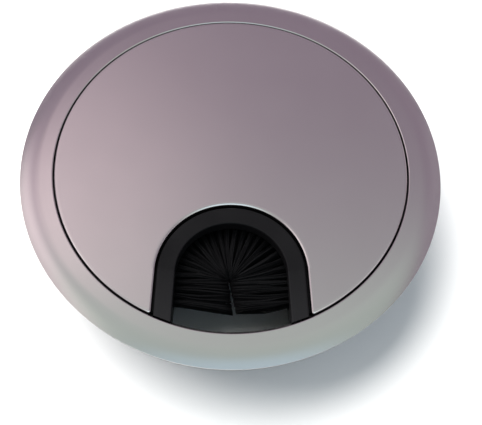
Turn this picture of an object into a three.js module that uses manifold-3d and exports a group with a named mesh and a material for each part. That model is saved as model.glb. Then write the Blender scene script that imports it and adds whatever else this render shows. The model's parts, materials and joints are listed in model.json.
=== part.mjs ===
// Round desk grommet: a die-cast flange and sleeve for an 80 mm hole in a desktop, and a lift-out lid whose
// U-shaped notch carries a strip brush that closes round the cables.
// Millimetres, +Z up. The sleeve's foot stands on z = 0, Z is the axis of the hole, and the notch opens
// towards -Y.
import * as THREE from "three";
import { ConvexGeometry } from "three/addons/geometries/ConvexGeometry.js";
import { mergeVertices } from "three/addons/utils/BufferGeometryUtils.js";
import Module from "manifold-3d";

const wasm = await Module();
wasm.setup();

// ---- Driving dimensions ----

const TOP = 20.2; // height of the lid's top face above the sleeve's foot
const DESK = 17.0; // height of the plane where the flange rests on the desktop

// Housing
const FLANGE_RADIUS = 45.5;
const SLEEVE_RADIUS = 39.3; // the ribs bring the sleeve to a push fit in an 80 mm hole
const SLEEVE_BORE = 38.0;
const POCKET_RADIUS = 38.5; // the lid lies in this pocket
const LEDGE_RADIUS = 37.25;
const LEDGE_TOP = TOP - 3.0;
const LEDGE_THICKNESS = 1.0;
const LEDGE_FILLET = 0.8; // slanted support where the ledge meets the sleeve
const LIP_HEIGHT = 0.9; // upright outer edge of the flange
const SHOULDER_RADIUS = 2.6; // rounding between the flange's top and its lip
const FLANGE_SLOPE = 0.3; // how far the flange's top falls from the pocket to the shoulder
const RIB_COUNT = 12;
const RIB_PROUD = 0.45;
const RIB_WIDTH = 1.2;
const RIB_FOOT = 2.5; // height where the ribs begin, above the sleeve's lead-in

// Seat ring, between the ledge and the lid
const SEAT_INNER = 37.35;
const SEAT_OUTER = 38.3;
const SEAT_THICKNESS = 0.4;
const TOUCH_GAP = 0.05; // left between faces that rest on each other

// Lid
const LID_RADIUS = 38.0;
const LID_PLATE = 1.7;
const LID_RIM = 2.5; // full depth at the rim, which rests on the seat ring
const LID_RIM_WIDTH = 1.6;
const LID_RIB_DEPTH = 0.8; // how far the stiffening ribs stand below the plate
const LID_RIB_ANGLES = [30, 60, 90, 120, 150]; // degrees from +X
const LID_HUB_RADIUS = 7.5; // ring where the ribs meet
const EDGE_BREAK = 0.3; // chamfer on the visible metal edges
const SINK = 0.5; // how far a rib or boss reaches into the wall that it grows from

// Notch and brush, drawn round the centre of the notch's arch
const ARCH_Y = -25.5;
const NOTCH_RADIUS = 15.8;
const NOTCH_WALL = 1.3; // thickness of the wall that runs round the notch under the plate
const NOTCH_WALL_DEPTH = 0.6;
const FLARE = THREE.MathUtils.degToRad(2.8); // each leg of the U spreads outwards by this much
const COLLAR_OUTER = 15.3;
const COLLAR_INNER = 11.6;
const COLLAR_TOP = TOP - 0.5;
const BRUSH_LEVEL = TOP - 4.8; // middle of the filaments' thickness
const CHANNEL_MOUTH = 12.0;
const CHANNEL_BACK = 15.2;
const CHANNEL_HEIGHT = 2.6;
const CHANNEL_SHEET = 0.4;
const CHANNEL_END_Y = -31.4;
const WIRE_RADIUS = 0.5;
const WIRE_LINE = 14.1;
const WIRE_END_Y = -31.0;
const ROOT_BACK = 13.4;
const FRAME_OUTER = 17.0;
const FRAME_WEB_TOP = 17.5; // top of the frame's part that lies under the lid
const FRAME_REACH = 36.8; // what hangs under the lid stays inside this radius, clear of the ledge
const CLAMP_THICKNESS = 1.6;
const PART_CLEARANCE = 0.1;

// Screws that hold the clamp, and the frame with it, to bosses under the lid
const SCREW_CIRCLE = 19.4; // round the centre of the arch
const SCREW_ANGLES = [12, 58, 122, 168]; // degrees from +X
const BOSS_RADIUS = 2.4;
const BOSS_PLAY = 0.2;
const EAR_RADIUS = 4.3;
const EAR_THICKNESS = 1.7;
const PILOT_RADIUS = 1.2;
const PILOT_END = TOP - 2; // the bosses are drilled up to this height
const SHANK_RADIUS = 1.1;
const SHANK_PLAY = 0.3; // round the shank in the clamp's holes
const SHANK_LENGTH = 5.2;
const HEAD_RADIUS = 2.3;
const HEAD_HEIGHT = 1.5;
const HEAD_ROUNDING = 0.6;
const POINT_LENGTH = 1.0;
const POINT_RADIUS = 0.3;
const RECESS_ARM = 1.35; // cross recess, from its centre to the end of an arm
const RECESS_HALF = 0.3;
const RECESS_DEPTH = 0.8;

// Bristle banks: two along each leg of the U and five round the arch
const LEG_BANKS = 2;
const ARCH_BANKS = 5;
const BANK_GAP = 0.24; // between one bank and the next
const BANK_ROOT = 11.1; // radius of the filaments' free root
const BANK_FULL = 8.0; // radius where the bank reaches its full thickness
const BANK_TIP = 1.5; // radius where the arch's filaments end
const SEAM_HALF = 0.3; // the legs' filaments end this far from the centre line
const ROOT_HALF = 0.5; // half thickness at the root
const BANK_HALF = 1.25; // half thickness of the rest

// Fineness
const ROUND_STEPS = 72;
const ARCH_STEPS = 30;
const SHOULDER_STEPS = 6;
const SMALL_STEPS = 20;
const WIRE_STEPS = 36;
const BEYOND = 60; // a length that reaches past the whole part

// ---- Solids ----

/** A closed geometry as a manifold-3d solid. */
function solid(geometry) {
  const bare = geometry.index ? geometry.toNonIndexed() : geometry.clone();
  bare.deleteAttribute("normal");
  bare.deleteAttribute("uv");
  const merged = mergeVertices(bare, 1e-4);
  return new wasm.Manifold(
    new wasm.Mesh({
      numProp: 3,
      vertProperties: merged.attributes.position.array,
      triVerts: new Uint32Array(merged.index.array),
    }),
  );
}

/** A manifold-3d solid as a geometry with flat faces. */
function geometryOf(made) {
  const { vertProperties, triVerts } = made.getMesh();
  const geometry = new THREE.BufferGeometry();
  geometry.setAttribute("position", new THREE.BufferAttribute(vertProperties, 3));
  geometry.setIndex(new THREE.BufferAttribute(triVerts, 1));
  const flat = geometry.toNonIndexed();
  flat.computeVertexNormals();
  return flat;
}

/** Solid of revolution about Z. The profile lists [radius, height], with the material on its left. */
function turned(profile, steps = ROUND_STEPS) {
  const points = profile.map(([radius, height]) => new THREE.Vector2(radius, height));
  if (profile[0][0] > 0) points.push(points[0].clone());
  return solid(new THREE.LatheGeometry(points, steps).rotateX(Math.PI / 2));
}

/** Upright cylinder between two heights. */
function post(radius, low, high, [x, y] = [0, 0], steps = SMALL_STEPS) {
  const geometry = new THREE.CylinderGeometry(radius, radius, high - low, steps);
  return solid(geometry.rotateX(Math.PI / 2).translate(x, y, (low + high) / 2));
}

/** Box between two corners. */
function block([x0, y0, z0], [x1, y1, z1]) {
  const geometry = new THREE.BoxGeometry(x1 - x0, y1 - y0, z1 - z0);
  return solid(geometry.translate((x0 + x1) / 2, (y0 + y1) / 2, (z0 + z1) / 2));
}

/** Flat outline pulled up between two heights. */
function prism(outline, low, high) {
  const shape = new THREE.Shape(outline);
  const geometry = new THREE.ExtrudeGeometry(shape, { depth: high - low, bevelEnabled: false });
  return solid(geometry.translate(0, 0, low));
}

/** The point of the U of this radius where its right leg meets the arch. */
function legStart(radius) {
  return new THREE.Vector2(radius * Math.cos(FLARE), ARCH_Y + radius * Math.sin(FLARE));
}

/** The point of the right leg of the U at this height of the drawing. */
function legPoint(radius, y) {
  const start = legStart(radius);
  return new THREE.Vector2(start.x + (start.y - y) * Math.tan(FLARE), y);
}

/** Outline of a U: up the right leg, over the arch and down the left leg. */
function archLine(radius, endY) {
  const points = [legPoint(radius, endY)];
  for (let i = 0; i <= ARCH_STEPS; i++) {
    const angle = FLARE + ((Math.PI - 2 * FLARE) * i) / ARCH_STEPS;
    points.push(new THREE.Vector2(radius * Math.cos(angle), ARCH_Y + radius * Math.sin(angle)));
  }
  const end = legPoint(radius, endY);
  points.push(new THREE.Vector2(-end.x, end.y));
  return points;
}

/** U-shaped band between two radii and two heights. */
function archBand(inner, outer, low, high, endY = -BEYOND) {
  return prism([...archLine(outer, endY), ...archLine(inner, endY).reverse()], low, high);
}

/** Centres of the screws. */
const screwCentres = SCREW_ANGLES.map((degrees) => {
  const angle = THREE.MathUtils.degToRad(degrees);
  return [SCREW_CIRCLE * Math.cos(angle), ARCH_Y + SCREW_CIRCLE * Math.sin(angle)];
});

function addAll(first, others) {
  return others.reduce((sum, other) => sum.add(other), first);
}

function cutAll(first, others) {
  return others.reduce((rest, other) => rest.subtract(other), first);
}

// ---- Housing ----

/** Top of the flange from its lip to the pocket: a rounded shoulder, then a slightly sloping face. */
function flangeTop() {
  const lipTop = DESK + LIP_HEIGHT;
  const shoulderTop = TOP - FLANGE_SLOPE;
  const points = [];
  for (let i = 0; i <= SHOULDER_STEPS; i++) {
    const angle = ((Math.PI / 2) * i) / SHOULDER_STEPS;
    const radius = FLANGE_RADIUS - SHOULDER_RADIUS * (1 - Math.cos(angle));
    points.push([radius, lipTop + (shoulderTop - lipTop) * Math.sin(angle)]);
  }
  points.push([POCKET_RADIUS + EDGE_BREAK, TOP], [POCKET_RADIUS, TOP - EDGE_BREAK]);
  return points;
}

/** Triangular rib on the sleeve's outside that bites into the hole's edge. */
function gripRib(index) {
  const outline = [
    new THREE.Vector2(SLEEVE_RADIUS - SINK, -RIB_WIDTH / 2),
    new THREE.Vector2(SLEEVE_RADIUS + RIB_PROUD, 0),
    new THREE.Vector2(SLEEVE_RADIUS - SINK, RIB_WIDTH / 2),
  ];
  return prism(outline, RIB_FOOT, DESK - SINK).rotate([0, 0, (360 * (index + 0.5)) / RIB_COUNT]);
}

/** Flange, lid pocket, ledge and ribbed sleeve in one casting, hollow under the flange. */
function housing() {
  const footChamfer = 0.2;
  const hollowRoof = TOP - 1.7;
  const hollowOuter = 43.6;
  const body = turned([
    [SLEEVE_BORE + footChamfer, 0],
    [SLEEVE_RADIUS - footChamfer, 0],
    [SLEEVE_RADIUS, 2 * footChamfer],
    [SLEEVE_RADIUS, hollowRoof],
    [hollowOuter - footChamfer, hollowRoof],
    [hollowOuter, DESK],
    [FLANGE_RADIUS - EDGE_BREAK, DESK],
    [FLANGE_RADIUS, DESK + EDGE_BREAK],
    ...flangeTop(),
    [POCKET_RADIUS, LEDGE_TOP],
    [LEDGE_RADIUS, LEDGE_TOP],
    [LEDGE_RADIUS, LEDGE_TOP - LEDGE_THICKNESS],
    [SLEEVE_BORE, LEDGE_TOP - LEDGE_THICKNESS - LEDGE_FILLET],
    [SLEEVE_BORE, footChamfer],
  ]);
  return addAll(body, Array.from({ length: RIB_COUNT }, (_, index) => gripRib(index)));
}

/** Flat ring that keeps the lid from rattling on the ledge. */
function seatRing() {
  const low = LEDGE_TOP + TOUCH_GAP;
  return turned([
    [SEAT_INNER, low],
    [SEAT_OUTER, low],
    [SEAT_OUTER, low + SEAT_THICKNESS],
    [SEAT_INNER, low + SEAT_THICKNESS],
  ]);
}

// ---- Lid ----

/** Stiffening rib under the lid, from the hub ring to the rim. */
function lidRib(degrees) {
  const low = TOP - LID_PLATE - LID_RIB_DEPTH;
  const rib = block([LID_HUB_RADIUS - SINK, -SINK, low], [LID_RADIUS - 1, SINK, TOP - LID_PLATE + SINK]);
  return rib.rotate([0, 0, degrees]);
}

function lid() {
  const plateBottom = TOP - LID_PLATE;
  const rimInner = LID_RADIUS - LID_RIM_WIDTH;
  const disc = turned([
    [0, plateBottom],
    [rimInner, plateBottom],
    [rimInner, TOP - LID_RIM],
    [LID_RADIUS, TOP - LID_RIM],
    [LID_RADIUS, TOP - EDGE_BREAK],
    [LID_RADIUS - EDGE_BREAK, TOP],
    [0, TOP],
  ]);
  const inside = post(LID_RADIUS - SINK, 0, TOP, [0, 0], ROUND_STEPS);
  const wallLow = plateBottom - NOTCH_WALL_DEPTH;
  const notchWall = archBand(NOTCH_RADIUS - 1, NOTCH_RADIUS + NOTCH_WALL, wallLow, plateBottom + SINK);
  const bossLow = clampTop + TOUCH_GAP;
  const bosses = screwCentres.map((centre) => post(BOSS_RADIUS, bossLow, plateBottom + SINK, centre));
  const hub = turned([
    [LID_HUB_RADIUS - 1, plateBottom - LID_RIB_DEPTH],
    [LID_HUB_RADIUS, plateBottom - LID_RIB_DEPTH],
    [LID_HUB_RADIUS, plateBottom + SINK],
    [LID_HUB_RADIUS - 1, plateBottom + SINK],
  ]);
  const notch = prism(archLine(NOTCH_RADIUS, -BEYOND), 0, BEYOND);
  const pilots = screwCentres.map((centre) => post(PILOT_RADIUS, 0, PILOT_END, centre));
  const cast = addAll(disc, [notchWall.intersect(inside), hub, ...LID_RIB_ANGLES.map(lidRib)]);
  return cutAll(addAll(cast.subtract(notch), bosses), pilots);
}

// ---- Brush cassette ----

const channelLow = BRUSH_LEVEL - CHANNEL_HEIGHT / 2;
const channelHigh = BRUSH_LEVEL + CHANNEL_HEIGHT / 2;
const clampTop = channelLow - PART_CLEARANCE;

/** Collar in the notch, with a groove under it that takes the brush, and ears for the lid's bosses. */
function brushFrame() {
  const grooveRoof = channelHigh + PART_CLEARANCE;
  const inLid = post(LID_RADIUS, 0, BEYOND, [0, 0], ROUND_STEPS);
  const underLid = post(FRAME_REACH, 0, BEYOND, [0, 0], ROUND_STEPS);
  const collarLow = LEDGE_TOP + TOUCH_GAP + SEAT_THICKNESS + TOUCH_GAP;
  const collar = archBand(COLLAR_INNER, COLLAR_OUTER, collarLow, COLLAR_TOP).intersect(inLid);
  const lower = archBand(COLLAR_INNER, COLLAR_OUTER, grooveRoof, collarLow + SINK);
  const web = archBand(COLLAR_INNER, FRAME_OUTER, grooveRoof, FRAME_WEB_TOP);
  const skirt = archBand(CHANNEL_BACK + PART_CLEARANCE, FRAME_OUTER, clampTop + TOUCH_GAP, FRAME_WEB_TOP);
  const endStops = archBand(COLLAR_INNER, FRAME_OUTER, clampTop + TOUCH_GAP, FRAME_WEB_TOP).subtract(
    block([-BEYOND, CHANNEL_END_Y - PART_CLEARANCE, 0], [BEYOND, BEYOND, BEYOND]),
  );
  const earLow = FRAME_WEB_TOP - EAR_THICKNESS;
  const ears = screwCentres.map((centre) => post(EAR_RADIUS, earLow, FRAME_WEB_TOP, centre));
  const room = prism(archLine(CHANNEL_BACK + PART_CLEARANCE, CHANNEL_END_Y), 0, grooveRoof);
  const hanging = addAll(lower, [web, skirt, endStops, ...ears]).intersect(underLid).subtract(room);
  const sockets = screwCentres.map((centre) => post(BOSS_RADIUS + BOSS_PLAY, 0, BEYOND, centre));
  return cutAll(hanging.add(collar), sockets);
}

/** Plate that closes the frame's groove from below and is screwed to the bosses. */
function brushClamp() {
  const low = clampTop - CLAMP_THICKNESS;
  const plate = archBand(COLLAR_INNER, FRAME_OUTER, low, clampTop);
  const ears = screwCentres.map((centre) => post(EAR_RADIUS, low, clampTop, centre));
  const inside = post(FRAME_REACH, 0, BEYOND, [0, 0], ROUND_STEPS);
  const opening = prism(archLine(COLLAR_INNER, -BEYOND), 0, BEYOND);
  const holes = screwCentres.map((centre) => post(SHANK_RADIUS + SHANK_PLAY, 0, BEYOND, centre));
  return cutAll(addAll(plate, ears).intersect(inside).subtract(opening), holes);
}

/** Folded steel channel that grips the filaments. */
function brushChannel() {
  const outside = archBand(CHANNEL_MOUTH, CHANNEL_BACK, channelLow, channelHigh, CHANNEL_END_Y);
  const hollow = archBand(
    CHANNEL_MOUTH - 1,
    CHANNEL_BACK - CHANNEL_SHEET,
    channelLow + CHANNEL_SHEET,
    channelHigh - CHANNEL_SHEET,
  );
  return outside.subtract(hollow);
}

/** Wire that the filaments are folded round. */
function coreWire() {
  const line = archLine(WIRE_LINE, WIRE_END_Y).map((p) => new THREE.Vector3(p.x, p.y, BRUSH_LEVEL));
  const section = new THREE.Shape().absarc(0, 0, WIRE_RADIUS, 0, 2 * Math.PI);
  const extrudePath = new THREE.CatmullRomCurve3(line);
  return solid(new THREE.ExtrudeGeometry(section, { extrudePath, steps: WIRE_STEPS, curveSegments: 4 }));
}

/** Folded ends of the filaments, packed in the channel in front of the wire. */
function bristleRoots() {
  const half = CHANNEL_HEIGHT / 2 - CHANNEL_SHEET - PART_CLEARANCE;
  return archBand(CHANNEL_MOUTH, ROOT_BACK, BRUSH_LEVEL - half, BRUSH_LEVEL + half, CHANNEL_END_Y);
}

/** Pan-head screw pointing up, with a cross recess in its head. */
function clampScrew([x, y]) {
  const seat = clampTop - CLAMP_THICKNESS - TOUCH_GAP;
  const headLow = seat - HEAD_HEIGHT;
  const body = turned(
    [
      [0, headLow],
      [HEAD_RADIUS - HEAD_ROUNDING, headLow],
      [HEAD_RADIUS, headLow + HEAD_ROUNDING],
      [HEAD_RADIUS, seat],
      [SHANK_RADIUS, seat],
      [SHANK_RADIUS, seat + SHANK_LENGTH - POINT_LENGTH],
      [POINT_RADIUS, seat + SHANK_LENGTH],
      [0, seat + SHANK_LENGTH],
    ],
    SMALL_STEPS,
  );
  const recessTop = headLow + RECESS_DEPTH;
  const slots = [
    block([-RECESS_ARM, -RECESS_HALF, headLow - 1], [RECESS_ARM, RECESS_HALF, recessTop]),
    block([-RECESS_HALF, -RECESS_ARM, headLow - 1], [RECESS_HALF, RECESS_ARM, recessTop]),
  ];
  return cutAll(body, slots).translate([x, y, 0]);
}

// ---- Bristle banks ----

/** A bank as the hull of its root, shoulder and tip lines, each given by its two ends in plan. */
function bank(lines) {
  const points = lines.flatMap(({ ends, half }) =>
    ends.flatMap((end) => [
      new THREE.Vector3(end.x, end.y, BRUSH_LEVEL - half),
      new THREE.Vector3(end.x, end.y, BRUSH_LEVEL + half),
    ]),
  );
  return solid(new ConvexGeometry(points));
}

/** Bank of the right leg between two places along it, the filaments square to the leg. */
function legBank(from, to) {
  const across = new THREE.Vector2(-Math.cos(FLARE), -Math.sin(FLARE));
  const along = new THREE.Vector2(Math.sin(FLARE), -Math.cos(FLARE));
  const place = (radius, distance) => legStart(radius).addScaledVector(along, distance);
  const tip = (distance) => {
    const root = place(BANK_ROOT, distance);
    return root.clone().addScaledVector(across, (root.x - SEAM_HALF) / Math.cos(FLARE));
  };
  return bank([
    { ends: [place(BANK_ROOT, from), place(BANK_ROOT, to)], half: ROOT_HALF },
    { ends: [place(BANK_FULL, from), place(BANK_FULL, to)], half: BANK_HALF },
    { ends: [tip(from), tip(to)], half: BANK_HALF },
  ]);
}

/** Bank of the arch: a wedge about its middle angle. Its root's corners touch the root radius. */
function archBank(middle, halfAngle) {
  const inward = new THREE.Vector2(Math.cos(middle), Math.sin(middle));
  const sideways = new THREE.Vector2(-inward.y, inward.x);
  const centre = new THREE.Vector2(0, ARCH_Y);
  const line = (radius, half) => {
    const width = radius * Math.tan(halfAngle) - BANK_GAP / 2 / Math.cos(halfAngle);
    const foot = centre.clone().addScaledVector(inward, radius);
    return { ends: [-width, width].map((shift) => foot.clone().addScaledVector(sideways, shift)), half };
  };
  const rootLine = line(BANK_ROOT * Math.cos(halfAngle), ROOT_HALF);
  return bank([rootLine, line(BANK_FULL, BANK_HALF), line(BANK_TIP, BANK_HALF)]);
}

/** All banks by name. */
function bristleBanks() {
  const legLength = (ARCH_Y - CHANNEL_END_Y) / Math.cos(FLARE);
  const places = ["rear", "front"];
  const banks = {};
  for (let i = 0; i < LEG_BANKS; i++) {
    const from = (legLength * i) / LEG_BANKS + BANK_GAP;
    const to = (legLength * (i + 1)) / LEG_BANKS;
    const right = legBank(from, to);
    banks[`bristles_right_${places[i]}`] = right;
    banks[`bristles_left_${places[i]}`] = right.mirror([1, 0, 0]);
  }
  const halfAngle = (Math.PI / 2 - FLARE) / ARCH_BANKS;
  for (let i = 0; i < ARCH_BANKS; i++) {
    banks[`bristles_arch_${i + 1}`] = archBank(FLARE + halfAngle * (2 * i + 1), halfAngle);
  }
  return banks;
}

// ---- Materials ----

const satinNickel = new THREE.MeshStandardMaterial({ color: 0xb8afb1, roughness: 0.35, metalness: 1 });
const blackPlastic = new THREE.MeshStandardMaterial({ color: 0x1d1d1f, roughness: 0.6, metalness: 0 });
const blackRubber = new THREE.MeshStandardMaterial({ color: 0x141414, roughness: 0.85, metalness: 0 });
const galvanisedSteel = new THREE.MeshStandardMaterial({ color: 0x9a9c9e, roughness: 0.4, metalness: 1 });
const zincSteel = new THREE.MeshStandardMaterial({ color: 0xb4b6b8, roughness: 0.3, metalness: 1 });
const blackNylon = new THREE.MeshStandardMaterial({ color: 0x0d0d0e, roughness: 0.5, metalness: 0 });

// ---- Assembly ----

function named(name, made, material) {
  const mesh = new THREE.Mesh(geometryOf(made), material);
  mesh.name = name;
  return mesh;
}

const grommet = new THREE.Group();
grommet.add(named("flange_housing", housing(), satinNickel), named("seat_ring", seatRing(), blackRubber));

const lidAssembly = new THREE.Group();
lidAssembly.add(
  named("lid_disc", lid(), satinNickel),
  named("brush_frame", brushFrame(), blackPlastic),
  named("brush_clamp", brushClamp(), blackPlastic),
  named("brush_channel", brushChannel(), galvanisedSteel),
  named("brush_core_wire", coreWire(), galvanisedSteel),
  named("bristle_roots", bristleRoots(), blackNylon),
);
screwCentres.forEach((centre, index) => {
  lidAssembly.add(named(`clamp_screw_${index + 1}`, clampScrew(centre), zincSteel));
});
for (const [name, made] of Object.entries(bristleBanks())) {
  lidAssembly.add(named(name, made, blackNylon));
}
grommet.add(lidAssembly);

export default grommet;
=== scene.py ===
"""Round desk grommet with a brush lid: the looks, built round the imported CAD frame.

Shapes are worked out in millimetres and scaled to metres when their meshes are made. +Z is up, the sleeve
stands on z = 0, Z is the axis of the desk's hole and the notch opens towards -Y.
"""

import json
import math
import random

import bmesh
import bpy
from mathutils import Matrix, Vector


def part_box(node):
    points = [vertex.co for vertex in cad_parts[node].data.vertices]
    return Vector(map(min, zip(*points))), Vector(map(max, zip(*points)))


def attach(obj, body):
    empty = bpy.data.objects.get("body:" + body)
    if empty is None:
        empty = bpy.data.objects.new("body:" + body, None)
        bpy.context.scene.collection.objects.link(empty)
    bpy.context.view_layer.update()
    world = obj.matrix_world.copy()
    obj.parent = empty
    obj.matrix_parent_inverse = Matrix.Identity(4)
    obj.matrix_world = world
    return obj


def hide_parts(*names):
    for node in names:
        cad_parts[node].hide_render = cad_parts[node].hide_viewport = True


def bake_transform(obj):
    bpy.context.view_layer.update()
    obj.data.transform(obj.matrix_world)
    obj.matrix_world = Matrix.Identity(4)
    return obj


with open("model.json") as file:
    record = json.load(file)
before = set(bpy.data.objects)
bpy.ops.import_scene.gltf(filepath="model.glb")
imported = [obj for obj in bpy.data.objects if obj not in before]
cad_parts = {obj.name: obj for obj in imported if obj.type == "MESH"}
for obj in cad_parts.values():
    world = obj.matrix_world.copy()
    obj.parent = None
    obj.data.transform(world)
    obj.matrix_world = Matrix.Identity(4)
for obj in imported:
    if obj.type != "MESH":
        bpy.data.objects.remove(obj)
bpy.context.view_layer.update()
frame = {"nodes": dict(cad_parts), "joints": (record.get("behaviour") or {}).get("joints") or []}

MM = 0.001


def box_mm(node):
    """Lowest and highest corners of a CAD node in millimetres."""
    low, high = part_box(node)
    return low / MM, high / MM


def plan_centre(node):
    """Middle of a CAD node in plan, in millimetres."""
    low, high = box_mm(node)
    return (low.x + high.x) / 2, (low.y + high.y) / 2


# ---- Driving dimensions ----

# Read from the frame
FLANGE_RADIUS = box_mm("flange_housing")[1].x
LID_RADIUS = box_mm("lid_disc")[1].x
TOP = box_mm("lid_disc")[1].z
SEAT_LOW, SEAT_HIGH = (corner.z for corner in box_mm("seat_ring"))
SEAT_OUTER = box_mm("seat_ring")[1].x
COLLAR_TOP = box_mm("brush_frame")[1].z
CLAMP_LOW, CLAMP_HIGH = (corner.z for corner in box_mm("brush_clamp"))
CHANNEL_LOW, CHANNEL_HIGH = (corner.z for corner in box_mm("brush_channel"))
CHANNEL_END_Y = box_mm("brush_channel")[0].y
WIRE_END_Y = box_mm("brush_core_wire")[0].y
LEVEL = (CHANNEL_LOW + CHANNEL_HIGH) / 2
SCREW_LOW, SCREW_HIGH = (corner.z for corner in box_mm("clamp_screw_1"))
SCREWS = [name for name in frame["nodes"] if name.startswith("clamp_screw_")]
SCREW_CENTRES = [plan_centre(name) for name in SCREWS]

# Shared
FIT_GAP = 0.05          # between pieces that lie on each other
OVERLAP = 0.3           # how far the ribs and webs of the housing run into it
LID_OVERLAP = 0.4       # how far what stands under the lid runs into its plate

# Housing
DESK = 17.0
SLEEVE_RADIUS = 39.3
SLEEVE_BORE = 38.0
POCKET_RADIUS = 38.5
LEDGE_RADIUS = 37.25
LEDGE_TOP = 17.2
LEDGE_BOTTOM = 16.2
LEDGE_RAMP = 0.8
HOLLOW_ROOF = 18.5
HOLLOW_OUTER = 43.6
RIM_EDGE = 18.6
RIM_UNDERCUT = 0.3
RIM_ROUND = 0.1
RIM_TILT = math.radians(30)
FLANGE_SLOPE = math.radians(3)
FLANGE_DROP = 0.2
MOUTH_RADIUS = 38.33
MOUTH_DEPTH = 1.7
MOUTH_SHIFT = -0.2
RIBS = 12
RIB_ROOT = SLEEVE_RADIUS - 0.5
RIB_SECTION = ((0, -0.85), (0.8, -0.2), (0.92, 0), (0.8, 0.2), (0, 0.85))
RIB_FOOT = 2.4
RIB_FULL = 3.6
WEB_HALF = 0.35

# Lid
PLATE_BOTTOM = 18.5
LID_BOTTOM = 17.7
LID_WALL = 1.6
LID_CHAMFER = 0.24
EDGE_ROUND = 0.08
LID_CORNER = 0.4
LID_FOOT_CHAMFER = 0.15
POCKET_CHAMFER = 0.3
HUB_RADIUS = 7.5
HUB_WALL = 1.0
LID_RIB_HALF = 0.5
LID_RIB_ANGLES = (30, 60, 90, 120, 150)

# Notch, collar and brush, round the centre of the notch's arch
ARCH_Y = -25.5
FLARE = math.radians(2.8)
NOTCH_RADIUS = 15.8
COLLAR_INNER = 11.6
COLLAR_OUTER = 15.3
FRAME_OUTER = 17.0
FRAME_WEB_TOP = 17.5
FRAME_REACH = 36.8
CHANNEL_MOUTH = 12.0
CHANNEL_BACK = 15.2
CHANNEL_SHEET = 0.4
WIRE_LINE = 14.1
WIRE_RADIUS = 0.5
EAR_RADIUS = 4.3
BOSS_RADIUS = 2.4
PILOT_RADIUS = 1.2
CLAMP_HOLE = 1.4
CLAMP_COUNTERSINK = 0.35

# Screws
HEAD_HEIGHT = 1.5
SCREW_POINT = 0.9
THREAD_CORE = 0.9
THREAD_DEPTH = 0.27
THREAD_PITCH = 0.9
THREAD_FADE = 0.5
THREAD_ROWS = 64
SCREW_COLUMNS = 32
RECESS_HALF_LENGTH = 1.35
RECESS_HALF_WIDTH = 0.26

# Filaments; the tufts are counted in each bank
ROOT_RADIUS = 12.9
LEG_LENGTH = (ARCH_Y - CHANNEL_END_Y) / math.cos(FLARE)
HALF_ARCH = math.pi / 2 - FLARE
ARCH_LENGTH = ROOT_RADIUS * HALF_ARCH
MOUTH_ARCH_LENGTH = CHANNEL_MOUTH * HALF_ARCH
ARCH_BANKS = 5
FILAMENT = 0.105
FILAMENT_SIDES = 5
FILAMENT_STEPS = 9
TUFTS_PER_ARCH_BANK = 4
TUFTS_PER_LEG_BANK = 2
FILAMENTS_PER_TUFT = 80
BED_PER_TUFT = 12
ROOT_HALF_HEIGHT = 0.62
BELLY_HALF_HEIGHT = 1.05
TIP_HALF_HEIGHT = 0.95
SEAM_START = -0.45
SEAM_SLOPE = 0.17
ARCH_FOCUS = Vector((-0.35, ARCH_Y - 0.1))
ROOT_LOOPS = 330
LOOP_THICKNESS = 0.1
LOOP_STEPS = 13


# ---- Plane outlines ----

def arc(centre, radius, start, end, steps):
    """Points along an arc, both ends included; the angles are in radians."""
    return [
        (centre[0] + radius * math.cos(start + (end - start) * i / steps),
         centre[1] + radius * math.sin(start + (end - start) * i / steps))
        for i in range(steps + 1)
    ]


def rounded(corners, steps=4):
    """Closed outline from (x, y, radius) corners, each corner with a radius replaced by an arc."""
    points = []
    for i, (x, y, radius) in enumerate(corners):
        here = Vector((x, y))
        if radius <= 0:
            points.append((x, y))
            continue
        before = (Vector(corners[i - 1][:2]) - here).normalized()
        after = (Vector(corners[(i + 1) % len(corners)][:2]) - here).normalized()
        half = before.angle(after) / 2
        centre = here + (before + after).normalized() * radius / math.sin(half)
        first = here + before * radius / math.tan(half) - centre
        last = here + after * radius / math.tan(half) - centre
        sweep = first.angle_signed(last)
        for k in range(steps + 1):
            turn = -sweep * k / steps
            points.append((
                centre.x + first.x * math.cos(turn) - first.y * math.sin(turn),
                centre.y + first.x * math.sin(turn) + first.y * math.cos(turn),
            ))
    return points


def leg_start(radius):
    """Where the right leg of the U of this radius meets its arch."""
    return Vector((radius * math.cos(FLARE), ARCH_Y + radius * math.sin(FLARE)))


LEG_DIRECTION = Vector((math.sin(FLARE), -math.cos(FLARE)))


def leg_end_on_circle(radius, circle):
    """Point of the right leg that lies on a circle round the Z axis."""
    start = leg_start(radius)
    along = start.dot(LEG_DIRECTION)
    run = -along + math.sqrt(along * along - start.dot(start) + circle * circle)
    return start + LEG_DIRECTION * run


def leg_end_at_y(radius, y):
    start = leg_start(radius)
    return start + LEG_DIRECTION * (start.y - y) / math.cos(FLARE)


def u_line(radius, end, steps=72):
    """The U of this radius from its right foot over the arch to its left foot."""
    line = [tuple(end)]
    line += arc((0, ARCH_Y), radius, FLARE, math.pi - FLARE, steps)
    line.append((-end[0], end[1]))
    return line


def along_u(radius, distance):
    """Point and inward direction at a distance along the U, from the top of its arch to the right."""
    arch = radius * HALF_ARCH
    side = 1 if distance >= 0 else -1
    distance = abs(distance)
    if distance <= arch:
        angle = math.pi / 2 - distance / radius
        outward = Vector((math.cos(angle), math.sin(angle)))
        point = Vector((0, ARCH_Y)) + outward * radius
    else:
        outward = Vector((math.cos(FLARE), math.sin(FLARE)))
        point = leg_start(radius) + LEG_DIRECTION * (distance - arch)
    return Vector((point.x * side, point.y)), Vector((-outward.x * side, -outward.y))


# ---- Meshes ----

def piece(name, vertices, faces, material):
    """New object from vertices in millimetres."""
    mesh = bpy.data.meshes.new(name)
    mesh.from_pydata([Vector(v) * MM for v in vertices], [], faces)
    mesh.materials.append(material)
    mesh.validate()
    obj = bpy.data.objects.new(name, mesh)
    bpy.context.scene.collection.objects.link(obj)
    return obj


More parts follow.
